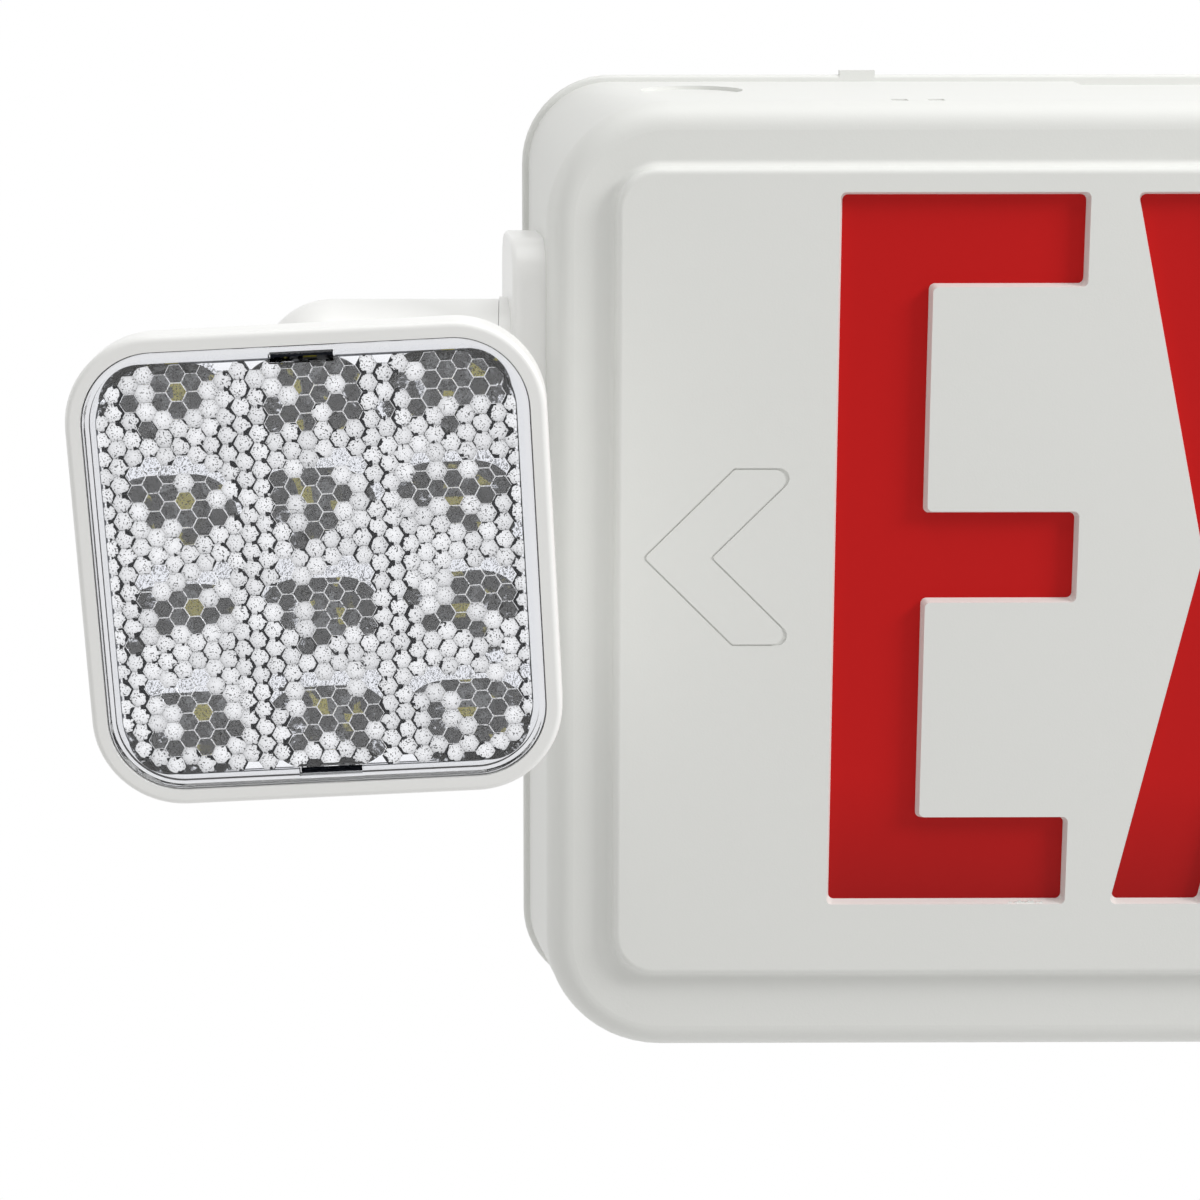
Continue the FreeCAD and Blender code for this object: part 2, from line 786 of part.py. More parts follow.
def make_button_spring():
    """Compression spring between flange and switch, made of half turns.

    Each half turn is half a torus, tilted so that it climbs half a pitch. Its
    two ends point straight along Y, so that the next half turn runs on smoothly.
    """
    z0 = button_flange_z() + 1.4 + spring_wire / 2
    z1 = switch_board_z() - 4.0 - spring_wire / 2
    pitch = (z1 - z0) / spring_turns
    reach = math.hypot(spring_diameter / 2, pitch / 4)
    tilt = math.degrees(math.atan2(pitch / 4, spring_diameter / 2))
    halves = []
    for i in range(2 * spring_turns):
        side = 1 if i % 2 == 0 else -1
        circle = Part.Wire(Part.makeCircle(spring_wire / 2, V(side * reach, 0, 0), V(0, 1, 0)))
        half = Part.Face(circle).revolve(V(0, 0, 0), V(0, 0, 1), 180)
        half.rotate(V(0, 0, 0), V(0, 1, 0), side * tilt)
        half.translate(V(button_x, button_y, z0 + (i + 0.5) * pitch / 2))
        halves.append(half)
    return halves[0].fuse(halves[1:])


def make_indicator():
    """Light pipe through the bottom wall, up to its diode."""
    low = bottom_wall_z(button_y) - 1.2
    top = switch_board_z() - 2.4
    pipe = rod(lamp_diameter, V(lamp_x, button_y, low), V(0, 0, 1), top - low)
    rim = [e for e in pipe.Edges if e.BoundBox.ZMax < low + 0.01]
    pipe = pipe.makeFillet(0.8, rim)
    collar = rod(lamp_diameter + 2.5, V(lamp_x, button_y, seat_z() + 0.05), V(0, 0, 1), 1.2)
    return pipe.fuse(collar)


def make_indicator_led():
    z = switch_board_z()
    return rod(4.8, V(lamp_x, button_y, z), V(0, 0, -1), 2.3)


def make_diffuser():
    y0 = panel_back_y
    sheet = plate(diffuser_width, diffuser_height, 4.0, y0, y0 + diffuser_thickness, 0, diffuser_lift)
    for x, z in peg_points():
        hole = rod(peg_diameter + 2 * peg_clearance, V(x, y0 - 1, z), V(0, 1, 0), diffuser_thickness + 2)
        sheet = sheet.cut(hole)
    return sheet


def make_bracket():
    """Left side plate that lies on the drafted wall and carries the arm."""
    angle = math.radians(side_draft)
    blank = rounded_side_plate()
    x = -side_wall_x(axis_y)
    blank.rotate(V(0, 0, 0), V(0, 0, 1), side_draft)
    blank.translate(V(x, axis_y, axis_z))
    collar = rod(collar_diameter, V(x - 2.0, axis_y, axis_z), V(-1, 0, 0), collar_face + x - 2.0)
    plate_solid = blank.fuse(collar)
    bore = rod(journal_diameter + 2 * journal_clearance, V(x + 5, axis_y, axis_z), V(-1, 0, 0), 20)
    plate_solid = plate_solid.cut(bore)
    for y, z in bracket_screw_points():
        plate_solid = plate_solid.cut(tilted_rod(screw_diameter - 0.2, y, z, 1, 5.4))
    return plate_solid


def rounded_side_plate():
    """Plate in the YZ plane, from X = 0 out to -X, with softened edges."""
    hd = bracket_depth / 2
    hh = bracket_height / 2
    body = box(-bracket_thickness, 0, -hd, hd, -hh, hh)
    corners = [e for e in body.Edges if e.BoundBox.XLength > bracket_thickness * 0.9]
    body = body.makeFillet(bracket_corner, corners)
    outer = []
    for edge in body.Edges:
        if edge.BoundBox.XMax < -bracket_thickness + 0.01:
            outer.append(edge)
    return body.makeFillet(bracket_edge, outer)


def make_bracket_screws():
    screws = []
    seat = cover_wall + 0.05
    for y, z in bracket_screw_points():
        shank = tilted_rod(screw_diameter - 0.3, y, z, seat + 0.5, 5.0)
        head = tilted_rod(screw_head, y, z, seat + screw_head_height, -seat)
        slot = tilted_rod(1.6, y, z, seat + screw_head_height + 1, -seat - 1.0)
        screws.append(shank.fuse(head).cut(slot))
    return Part.makeCompound(screws)


def head_placement(shape):
    """Move a piece from the head's own frame to its photographed pose."""
    placed = shape.copy()
    placed.rotate(V(0, 0, 0), V(0, 1, 0), head_lean)
    placed.rotate(V(0, 0, 0), V(0, 0, 1), head_turn)
    placed.rotate(V(0, 0, 0), V(1, 0, 0), head_tilt)
    placed.translate(V(-pivot_x, axis_y, axis_z))
    return placed


def make_arm():
    """Hollow arm: journal, round body, domed end and the slot for the head."""
    shoulder = collar_face + shoulder_gap
    radius = arm_diameter / 2
    body = rod(arm_diameter, V(-shoulder, axis_y, axis_z), V(-1, 0, 0), pivot_x - shoulder)
    dome = Part.makeSphere(radius, V(-pivot_x, axis_y, axis_z))
    nut_end = inner_pad_face - washer_thickness - nut_thickness - 1.5
    journal = rod(journal_diameter, V(-nut_end, axis_y, axis_z), V(-1, 0, 0), shoulder - nut_end + 1)
    arm = body.fuse(dome).fuse(journal)
    bore = rod(wire_bore, V(-nut_end + 1, axis_y, axis_z), V(-1, 0, 0), pivot_x - nut_end - 12)
    arm = arm.cut(bore)
    half = tongue_thickness / 2 + knuckle_gap
    eye = tongue_width / 2 + 1.6
    slot = Part.makeCylinder(eye, 2 * half, V(0, 0, -half), V(0, 0, 1))
    slot = slot.fuse(box(-radius - 2, 12.5, -radius - 2, 0, -half, half))
    slot = slot.fuse(box(-radius - 2, 0, -1, 9.5, -half, half))
    hole = rod(pin_diameter + 2 * pin_clearance, V(0, 0, -radius - 1), V(0, 0, 1), 2 * radius - 2)
    sink = rod(pin_head + 0.4, V(0, 0, -radius - 1), V(0, 0, 1), pin_head_height + 1.8)
    for cutter in (slot, hole, sink):
        arm = arm.cut(head_placement(cutter))
    return arm.removeSplitter()


def make_arm_washer():
    start = V(-inner_pad_face + 0.05, axis_y, axis_z)
    return tube(nut_diameter, journal_diameter + 0.2, start, V(1, 0, 0), washer_thickness)


def make_arm_nut():
    start = V(-inner_pad_face + 0.1 + washer_thickness, axis_y, axis_z)
    nut = tube(nut_diameter, journal_diameter + 0.1, start, V(1, 0, 0), nut_thickness)
    for i in range(8):
        angle = math.radians(45 * i)
        y = axis_y + math.cos(angle) * nut_diameter / 2
        z = axis_z + math.sin(angle) * nut_diameter / 2
        nut = nut.cut(rod(3.0, V(start.x - 1, y, z), V(1, 0, 0), nut_thickness + 2))
    return nut


def make_pivot_pin():
    """Pin that holds the tongue in the knuckle, headed below."""
    radius = arm_diameter / 2
    low = -radius + 0.8
    head = rod(pin_head, V(0, 0, low), V(0, 0, 1), pin_head_height)
    shank = rod(pin_diameter, V(0, 0, low), V(0, 0, 1), 2 * radius - 4.0)
    slot = box(-3, 3, -0.5, 0.5, low - 1, low + 1)
    return head_placement(head.fuse(shank).cut(slot))


def head_plate(width, height, radius, y0, y1):
    return plate(width, height, radius, y0, y1, 0, -head_drop)


def make_head_shell():
    """Lamp housing with its rear tongue, in the head's own frame."""
    front = -head_reach
    rim_back = front + head_rim
    rear = front + head_depth
    rim = head_plate(head_width, head_height, head_corner, front, rim_back)
    rim = rim.makeFillet(1.2, edges_on_plane(rim, front))
    wire_a = rounded_wire(head_width, head_height, head_corner, rim_back, 0, -head_drop)
    wire_b = rounded_wire(head_width - 2 * head_taper, head_height - 2 * head_taper,
                          head_corner - 4, rear, 0, -head_drop)
    bowl = Part.makeLoft([wire_a, wire_b], True, True)
    bowl = bowl.makeFillet(5.0, edges_on_plane(bowl, rear))
    shell = rim.fuse(bowl)
    ledge = front + lens_setback + lens_thickness
    mouth = head_plate(head_width - 2 * lip_width, head_height - 2 * lip_width,
                       lens_corner, front - 1, ledge)
    shell = shell.cut(mouth)
    cavity_w = head_width - 2 * (head_wall + 1.6)
    cavity_h = head_height - 2 * (head_wall + 1.6)
    straight = head_plate(cavity_w, cavity_h, head_corner - 3.8, ledge - 1, rim_back)
    wire_c = rounded_wire(cavity_w, cavity_h, head_corner - 3.8, rim_back, 0, -head_drop)
    inset = 2 * (head_taper + head_wall)
    wire_d = rounded_wire(head_width - inset, head_height - inset, head_corner - 5.0,
                          rear - head_wall, 0, -head_drop)
    hollow = Part.makeLoft([wire_c, wire_d], True, True)
    shell = shell.cut(straight).cut(hollow)
    for x, z in post_points():
        post = rod(post_diameter, V(x, rear - head_wall + 0.5, z), V(0, -1, 0),
                   rear - head_wall + 0.5 - board_back_y())
        shell = shell.fuse(post)
    for z in clip_centres():
        shell = shell.cut(box(-clip_width / 2, clip_width / 2, ledge - 1, ledge + 2.5,
                              z - clip_height / 2, z + clip_height / 2))
    half = tongue_thickness / 2
    tongue = box(-tongue_width / 2, tongue_width / 2, rear - 1.5, 0, -half, half)
    eye = Part.makeCylinder(tongue_width / 2, tongue_thickness, V(0, 0, -half), V(0, 0, 1))
    neck = box(-tongue_width / 2 - 4, tongue_width / 2 + 4, rear - 1.5, rear + 5, -half, half)
    shell = shell.fuse(tongue).fuse(eye).fuse(neck)
    hole = rod(pin_diameter + 2 * pin_clearance, V(0, 0, -half - 1), V(0, 0, 1), tongue_thickness + 2)
    return shell.cut(hole).removeSplitter()


def clip_centres():
    reach = head_height / 2 - lip_width - clip_inset
    return [-head_drop + reach, -head_drop - reach]


def board_front_y():
    return -head_reach + lens_setback + lens_thickness + 0.6 + cup_depth + 1.2


def board_back_y():
    return board_front_y() + board_thickness


def post_points():
    reach = head_board / 2 - 6.5
    return [(sx * reach, -head_drop + sz * reach) for sx in (-1, 1) for sz in (-1, 1)]


def led_points():
    points = []
    for row in range(led_rows):
        for column in range(led_columns):
            x = (column - (led_columns - 1) / 2.0) * led_pitch_x
            z = -head_drop + (row - (led_rows - 1) / 2.0) * led_pitch_z
            points.append((x, z))
    return points


def make_lens():
    """Clear cover with its two latch windows."""
    front = -head_reach + lens_setback
    lens = head_plate(head_width - 2 * lip_width - 2 * lens_gap,
                      head_height - 2 * lip_width - 2 * lens_gap,
                      lens_corner - lens_gap, front, front + lens_thickness)
    lens = lens.makeFillet(0.5, edges_on_plane(lens, front))
    for z in clip_centres():
        lens = lens.cut(box(-clip_width / 2, clip_width / 2, front - 1, front + lens_thickness + 1,
                            z - clip_height / 2, z + clip_height / 2))
    return lens


def cup(x, z, front, depth, grow):
    """Tapered cup round one diode, with a rounded mouth and a square floor.

    Its size is that of the hollow, made larger all round by grow.
    """
    mouth = rounded_wire(cup_mouth_x + 2 * grow, cup_mouth_z + 2 * grow, cup_corner + grow, front, x, z)
    end = rounded_wire(cup_floor + 2 * grow, cup_floor + 2 * grow, cup_floor_corner + grow,
                       front + depth, x, z)
    return Part.makeLoft([mouth, end], True, True)


def make_reflector():
    """Plated tray with one cup for each diode, and legs down to the board."""
    front = -head_reach + lens_setback + lens_thickness + 0.6
    size_w = head_width - 2 * (head_wall + 1.6) - 1.2
    size_h = head_height - 2 * (head_wall + 1.6) - 1.2
    corner = head_corner - 5.0
    tray = head_plate(size_w, size_h, corner, front, front + reflector_plate)
    for sx in (-1, 1):
        for sz in (-1, 1):
            start = V(sx * led_pitch_x / 2, front + 0.5, -head_drop + sz * led_pitch_z)
            tray = tray.fuse(rod(3.0, start, V(0, 1, 0), board_front_y() - front - 0.5))
    for x, z in led_points():
        tray = tray.fuse(cup(x, z, front, cup_depth, cup_wall))
    tray = tray.common(head_plate(size_w, size_h, corner, front, board_front_y()))
    for x, z in led_points():
        tray = tray.cut(cup(x, z, front - 0.01, cup_depth + 0.02, 0.0))
    return tray.removeSplitter()


def make_head_board():
    return head_plate(head_board, head_board, head_board_corner, board_front_y(), board_back_y())


def make_head_leds():
    leds = []
    half = led_size / 2
    y = board_front_y()
    for x, z in led_points():
        leds.append(box(x - half, x + half, y - led_height, y, z - half, z + half))
    return Part.makeCompound(leds)


def check(name, shape):
    """Report a piece whose solids aren't closed."""
    for solid in shape.Solids:
        if not solid.isValid() or solid.Volume <= 0:
            print("problem in", name)
    print(name, "solids", len(shape.Solids), "volume cm3", round(shape.Volume / 1000.0, 2))


def export(name, shape):
    check(name, shape)
    shape.exportStep("parts/" + name + ".step")


def main():
    os.makedirs("parts", exist_ok=True)
    export("back_housing", make_back_housing())
    export("front_cover", make_front_cover())
    export("red_diffuser", make_diffuser())
    export("legend_board", circuit_board(legend_board_width, legend_board_height, 0,
                                         legend_board_z, legend_standoffs()))
    export("legend_leds", make_legend_leds())
    export("charger_board", circuit_board(charger_width, charger_height, charger_x, charger_z,
                                          charger_standoffs()))
    export("transformer", make_transformer())
    export("board_parts", make_board_parts())
    export("terminal_block", make_terminal_block())
    export("board_screws", make_board_screws())
    export("battery_pack", make_battery())
    export("battery_strap", make_battery_strap())
    export("switch_bracket", make_switch_bracket())
    export("switch_board", make_switch_board())
    export("test_switch", make_test_switch())
    export("test_button", make_test_button())
    export("button_spring", make_button_spring())
    export("indicator_lens", make_indicator())
    export("indicator_led", make_indicator_led())
    left = {
        "bracket": make_bracket(),
        "bracket_screws": make_bracket_screws(),
        "arm": make_arm(),
        "arm_washer": make_arm_washer(),
        "arm_nut": make_arm_nut(),
        "pivot_pin": make_pivot_pin(),
        "head_shell": head_placement(make_head_shell()),
        "head_lens": head_placement(make_lens()),
        "head_reflector": head_placement(make_reflector()),
        "head_board": head_placement(make_head_board()),
        "head_leds": head_placement(make_head_leds()),
    }
    for name, shape in left.items():
        export("left_" + name, shape)
        export("right_" + name, mirrored(shape))


main()
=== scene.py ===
# %% [markdown]
# # Emergency exit light
# A wall sign with a jointed lamp head on each side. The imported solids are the
# fixed frame of this scene. Nothing of them is moved: each one gets a procedural
# finish, and fine shapes that they don't have are added as meshes.

# %% Load the frame
import math

import bmesh
import bpy
import numpy as np
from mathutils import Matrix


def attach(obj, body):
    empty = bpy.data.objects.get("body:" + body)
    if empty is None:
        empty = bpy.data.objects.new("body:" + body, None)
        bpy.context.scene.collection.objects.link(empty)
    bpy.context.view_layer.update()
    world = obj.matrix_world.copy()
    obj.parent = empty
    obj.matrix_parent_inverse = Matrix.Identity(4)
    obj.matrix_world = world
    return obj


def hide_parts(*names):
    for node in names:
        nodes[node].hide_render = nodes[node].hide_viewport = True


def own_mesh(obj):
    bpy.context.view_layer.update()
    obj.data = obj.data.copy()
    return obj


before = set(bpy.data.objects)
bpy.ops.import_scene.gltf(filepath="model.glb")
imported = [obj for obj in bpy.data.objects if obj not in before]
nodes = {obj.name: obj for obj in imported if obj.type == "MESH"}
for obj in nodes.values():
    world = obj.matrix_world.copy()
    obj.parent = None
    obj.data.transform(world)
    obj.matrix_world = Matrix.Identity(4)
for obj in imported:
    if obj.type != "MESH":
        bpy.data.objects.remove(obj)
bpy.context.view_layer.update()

# %% [markdown]
# ## Camera
# The camera was fitted to the outline, the panel and the letters. It looks
# twelve degrees down, and a small sideways shift puts the crop where it is in
# the photograph, so the sign's right half lies outside the picture. A turn
# instead of the shift would slant the sign's level edges.

# %% Camera
FOCAL_PIXELS = 2922.6
FRAME_PIXELS = 1200.0
SENSOR_MM = 36.0
PRINCIPAL_X = 540.18
NEAREST_SEEN = 0.01
CAMERA_PLACE = (-0.16747, -0.66191, 0.12745)
CAMERA_TURNS = (78.0, 0.05, -0.267)


def placed(name, data):
    """Makes an object of the data, at the origin, and puts it in the scene."""
    made = bpy.data.objects.new(name, data)
    bpy.context.collection.objects.link(made)
    return made


camera_data = bpy.data.cameras.new("camera")
camera_data.sensor_width = SENSOR_MM
camera_data.lens = SENSOR_MM * FOCAL_PIXELS / FRAME_PIXELS
camera_data.shift_x = (FRAME_PIXELS / 2 - PRINCIPAL_X) / FRAME_PIXELS
camera_data.clip_start = NEAREST_SEEN
camera = placed("camera", camera_data)
camera.location = CAMERA_PLACE
camera.rotation_euler = [math.radians(angle) for angle in CAMERA_TURNS]
bpy.context.scene.camera = camera
bpy.context.scene.view_settings.view_transform = "Standard"
print("lens", round(camera_data.lens, 2), "shift", round(camera_data.shift_x, 4))

# %% [markdown]
# ## Writing finishes as arithmetic
# A finish is a small graph of nodes. It could be drawn by hand in the shader
# editor, but a pattern of ten steps is easier to read as a formula. So a class
# wraps a socket and gives it operators, and each operator adds one Math node.


# %% Numbers that vary over a surface
class Field:
    """A number that varies over a surface. Arithmetic on it adds Math nodes."""

    def __init__(self, graph, socket):
        self.graph = graph
        self.socket = socket

    def math(self, operation, *others):
        return self.graph.node("ShaderNodeMath", {"operation": operation}, [self, *others])

    def __add__(self, other):
        return self.math("ADD", other)

    __radd__ = __add__

    def __mul__(self, other):
        return self.math("MULTIPLY", other)

    __rmul__ = __mul__

    def __sub__(self, other):
        return self.math("SUBTRACT", other)

    def __rsub__(self, other):
        return self.graph.node("ShaderNodeMath", {"operation": "SUBTRACT"}, [other, self])

    def least(self, other):
        return self.math("MINIMUM", other)

    def most(self, other):
        return self.math("MAXIMUM", other)

    def above(self, limit):
        return self.math("GREATER_THAN", limit)

    def below(self, limit):
        return self.math("LESS_THAN", limit)

    def size(self):
        return self.math("ABSOLUTE")

    def root(self):
        return self.math("SQRT")

    def whole(self):
        return self.math("ROUND")

    def ramp(self, start, end):
        """0 up to the start, 1 from the end on, and a straight rise between."""
        return ((self - start) * (1.0 / (end - start))).least(1.0).most(0.0)

    def wrapped(self, period):
        return self.math("WRAP", period / 2, -period / 2)


# %% [markdown]
# ## Graphs and finishes
# Every other node comes from one method, which takes the node's kind, its
# settings and its inputs. The world's light needs it too, so it has a class of
# its own, and a finish adds one Principled shader to that.

# %% Graphs and finishes
# A Mix node has sockets for numbers, vectors and colours. These are for colours.
MIX_SHARE, MIX_FIRST, MIX_SECOND = 0, 6, 7
MIX_COLOUR = 2


class Graph:
    """A tree of nodes, with the method that makes any of them."""

    def __init__(self, tree):
        self.tree = tree

    def node(self, kind, settings=None, inputs=(), output=0):
        """Makes a node: its settings first, then its inputs by place or name."""
        made = self.tree.nodes.new(kind)
        for key, value in (settings or {}).items():
            setattr(made, key, value)
        pairs = inputs.items() if isinstance(inputs, dict) else enumerate(inputs)
        for key, value in pairs:
            if isinstance(value, Field):
                self.tree.links.new(value.socket, made.inputs[key])
            else:
                made.inputs[key].default_value = value
        return Field(self, made.outputs[output]) if len(made.outputs) else None


class Finish(Graph):
    """A material with one Principled shader, and its constants given by name."""

    def __init__(self, name, **sockets):
        self.material = bpy.data.materials.new(name)
        self.material.use_nodes = True
        super().__init__(self.material.node_tree)
        self.shader = self.tree.nodes["Principled BSDF"]
        for socket, value in sockets.items():
            self.shader.inputs[socket.replace("_", " ")].default_value = value

    def place(self):
        return self.node("ShaderNodeTexCoord", output="Object")

    def noise(self, scale, detail=2.0):
        return self.node("ShaderNodeTexNoise", None,
                         {"Vector": self.place(), "Scale": scale, "Detail": detail})

    def feed(self, socket, field):
        self.tree.links.new(field.socket, self.shader.inputs[socket])

    def mixed(self, share, first, second):
        """Colour that runs from the first to the second as the share rises."""
        return self.node("ShaderNodeMix", {"data_type": "RGBA"},
                         {MIX_SHARE: share, MIX_FIRST: (*first, 1.0), MIX_SECOND: (*second, 1.0)},
                         MIX_COLOUR)

    def between(self, share, first, second):
        self.feed("Base Color", self.mixed(share, first, second))

    def bump(self, distance, height):
        """Leans the normals as if the surface rose by the height times the distance."""
        bump = self.node("ShaderNodeBump", None,
                         {"Strength": 1.0, "Distance": distance, "Height": height})
        self.feed("Normal", bump)

    def grain(self, scale, height):
        """Fine grain: a noise of that scale, that high in metres."""
        self.bump(height, self.noise(scale))

    def drift(self, scale, pale, deep, roughness, spread):
        """Lets colour and roughness drift together over the surface, by one noise."""
        drift = self.noise(scale, 3.0)
        self.between(drift, deep, pale)
        self.feed("Roughness", roughness - spread / 2 + drift * spread)


# %% [markdown]
# ## Moulded plastics
# The sign's box is satin ABS with a fine spark-eroded grain. The lamp heads and
# arms come from a polished tool, so they are smoother. One flat colour would be
# enough for a sketch, but it never looks moulded, so each plastic drifts a
# little in colour and roughness.

# %% Moulded plastics
PLASTIC_DRIFT = 9.0
PLASTIC_SPREAD = 0.08


def moulded(name, pale, deep, roughness, grain_scale, grain_height):
    finish = Finish(name)
    finish.drift(PLASTIC_DRIFT, pale, deep, roughness, PLASTIC_SPREAD)
    finish.grain(grain_scale, grain_height)
    return finish.material


housing = moulded("white_housing", (0.80, 0.805, 0.785), (0.77, 0.777, 0.752),
                  0.46, 2200.0, 0.000018)
lamp_white = moulded("white_lamp", (0.93, 0.93, 0.918), (0.905, 0.907, 0.893),
                     0.30, 1500.0, 0.000006)
black = moulded("black_plastic", (0.035, 0.035, 0.04), (0.025, 0.025, 0.028),
                0.5, 1800.0, 0.00001)
green_block = moulded("green_plastic", (0.06, 0.38, 0.15), (0.045, 0.32, 0.12),
                      0.45, 1800.0, 0.00001)
sleeve = moulded("battery_sleeve", (0.05, 0.17, 0.47), (0.04, 0.14, 0.41),
                 0.28, 500.0, 0.00002)
button = moulded("button_red", (0.62, 0.03, 0.03), (0.56, 0.025, 0.025),
                 0.3, 1500.0, 0.000006)
pilot = moulded("lamp_green", (0.07, 0.52, 0.17), (0.05, 0.46, 0.14),
                0.2, 900.0, 0.000004)
print("plastics, from", housing.name, "to", pilot.name)

# %% [markdown]
# ## Red sheet
# One red sheet lies behind all the letters. The photograph's red darkens towards
# the letters' feet. A lamp could cast that shade, but it would shade the white
# cover too, so that shade is painted into the sheet's colour, which darkens downwards.

# %% Red sheet
RED_PAINTED_SHADE = (-0.040, -0.072)
RED_DRIFT = 0.2


def red_sheet():
    """The darker red's share, a painted shade, is a ramp down the letters' feet, plus a soft
    noise.
    """
    finish = Finish("red_panel", Roughness=0.5, Specular_IOR_Level=0.2)
    height = finish.node("ShaderNodeSeparateXYZ", None, [finish.place()], "Z")
    drift = finish.noise(PLASTIC_DRIFT, 3.0) * RED_DRIFT
    finish.between(height.ramp(*RED_PAINTED_SHADE) + drift, (0.55, 0.004, 0.004), (0.36, 0.0025, 0.0025))
    finish.grain(900.0, 0.000006)
    return finish.material


red = red_sheet()
print("red sheet fades between heights", RED_PAINTED_SHADE)

# %% [markdown]
# ## Boards and metal
# Most of these sit inside the closed box, so a plain finish is enough: green
# laminate, yellow diodes for the legend, zinc-plated screws, pins and spring,
# and a dark iron core.

# %% Boards and metal
METAL_DRIFT = 60.0
METAL_SPREAD = 0.06

green_board = moulded("green_board", (0.035, 0.22, 0.09), (0.028, 0.18, 0.07),
                      0.4, 1200.0, 0.00001)
diode = moulded("diode", (0.86, 0.76, 0.16), (0.80, 0.68, 0.12), 0.35, 2500.0, 0.000006)


def metal(name, pale, deep, roughness, grain_scale, grain_height):
    finish = Finish(name, Metallic=1.0)
    finish.drift(METAL_DRIFT, pale, deep, roughness, METAL_SPREAD)
    finish.grain(grain_scale, grain_height)
    return finish.material


zinc = metal("zinc_screw", (0.66, 0.66, 0.64), (0.58, 0.58, 0.56), 0.32, 1500.0, 0.00001)
core = metal("dark_core", (0.14, 0.14, 0.15), (0.09, 0.09, 0.10), 0.5, 1200.0, 0.00002)
print("metals", zinc.name, core.name)

# %% [markdown]
# ## The heads' own axes
# Each lamp head leans a little, as in the photograph. A pattern written in the
# sign's axes would cut across the lens, so the heads' finishes and domes are
# written along each head's own axes and lean with it.

# %% Head axes
SIDES = {"left_": 1.0, "right_": -1.0}
PIVOT = np.array([-0.2093, -0.034, 0.0441])
LEAN, TURN, TILT = (math.radians(angle) for angle in (-3.0, -1.0, 2.0))
HEAD_DROP = 0.0276


def turned(axis, angle):
    """Rotation matrix about X, Y or Z (0, 1 or 2) by an angle."""
    cosine, sine = math.cos(angle), math.sin(angle)
    matrix = np.eye(3)
    first, second = (axis + 1) % 3, (axis + 2) % 3
    matrix[first, first] = matrix[second, second] = cosine
    matrix[first, second], matrix[second, first] = -sine, sine
    return matrix


head_axes = turned(0, TILT) @ turned(2, TURN) @ turned(1, LEAN)


def head_coordinates(finish, side):
    """Across, depth and height in a lamp head's own tilted axes, from its middle.

    Each is the dot product of one axis with the place less the pivot. On the
    right head, whose side is -1, the pivot and the axes are mirrored in X.
    """
    mirror = np.array([side, 1.0, 1.0])
    offset = finish.node("ShaderNodeVectorMath", {"operation": "SUBTRACT"},
                         [finish.place(), tuple(PIVOT * mirror)])
    along = [finish.node("ShaderNodeVectorMath", {"operation": "DOT_PRODUCT"},
                         [offset, tuple(head_axes[:, i] * mirror)], "Value") for i in range(3)]
    return along[0], along[1], along[2] + HEAD_DROP


print("head axes", head_axes.round(3).tolist())

# %% [markdown]
# ## Head diodes
# Each diode is a pale package with a square of yellow phosphor. The solid is a
# plain block, and a square is easy to draw by the distance from the nearest
# diode's middle. The lamp is off in the photograph. A faint painted glow, light
# that the unlit diodes don't give, keeps the phosphor yellow through the lens.

# %% Head diodes
DIODE_PITCH = (0.0276, 0.0221)
PHOSPHOR_HALF = 0.00132
PAINTED_GLOW = 0.14


def cell_of_diode(x, z):
    """Across and up from the nearest diode's middle."""
    return x.wrapped(DIODE_PITCH[0]), (z + DIODE_PITCH[1] / 2).wrapped(DIODE_PITCH[1])


def diode_finish(name, side):
    finish = Finish(name, Roughness=0.35, Emission_Strength=PAINTED_GLOW)
    x, _, z = head_coordinates(finish, side)
    across, upward = cell_of_diode(x, z)
    yellow = across.size().below(PHOSPHOR_HALF) * upward.size().below(PHOSPHOR_HALF)
    finish.between(yellow, (0.62, 0.63, 0.60), (0.97, 0.86, 0.13))
    # Painted light: the phosphor glows though the lamp is off.
    finish.feed("Emission Color", finish.mixed(yellow, (0.0, 0.0, 0.0), (0.9, 0.78, 0.1)))
    finish.grain(2500.0, 0.000006)
    return finish.material


head_diodes = {side: diode_finish(side + "diodes", sign) for side, sign in SIDES.items()}
print("diode finishes", len(head_diodes))

# %% [markdown]
# ## Plated cups
# Each diode sits in a cup that is plated like a mirror. In the photograph the
# cups mirror something dark, and here all around is white, so that dark is
# painted into the finish: a painted dark reflection in patches below the mouth,
# painted shade in patches on the board at the cup's foot, and a painted shadow
# behind the lens's latches.

# %% Plated cups
CUP_MOUTH_Y = -0.0627
CUP_DEPTH = 0.013
CUP_BRIGHT_SHARE = 0.05
LATCH_HALF = 0.0062
LATCH_START = 0.0405
DARK_PATCH_SCALE = 650.0
DARK_PATCH_EDGE = (0.45, 0.52)


# Mask of the painted dark: reflection in the cups, shade on the board at their feet.
def painted_dark_patches(finish):
    """1 in patches of a millimetre or two, 0 between them, with a narrow edge."""
    return finish.noise(DARK_PATCH_SCALE).ramp(*DARK_PATCH_EDGE)


def board_finish():
    finish = Finish("board_painted_dark", Roughness=0.4)
    # Painted shade: dark patches on the white board at the cups' feet.
    finish.between(painted_dark_patches(finish), (0.93, 0.94, 0.95), (0.016, 0.02, 0.024))
    finish.grain(1200.0, 0.00001)
    return finish.material


def cup_finish(name, side):
    finish = Finish(name, Metallic=1.0, Roughness=0.05)
    x, y, z = head_coordinates(finish, side)
    depth = (y - CUP_MOUTH_Y) * (1.0 / CUP_DEPTH)
    patches = painted_dark_patches(finish)
    # Painted dark reflection deeper than the cup's mouth, and a painted shadow behind the lens's
    # latches.
    latch = x.size().below(LATCH_HALF) * z.size().above(LATCH_START)
    dark = (depth.above(CUP_BRIGHT_SHARE) * patches).most(latch)
    finish.between(dark, (0.97, 0.975, 0.985), (0.008, 0.009, 0.012))
    return finish.material


board_painted_dark = board_finish()
cups = {side: cup_finish(side + "plated_cups", sign) for side, sign in SIDES.items()}
print("cup finishes", len(cups))
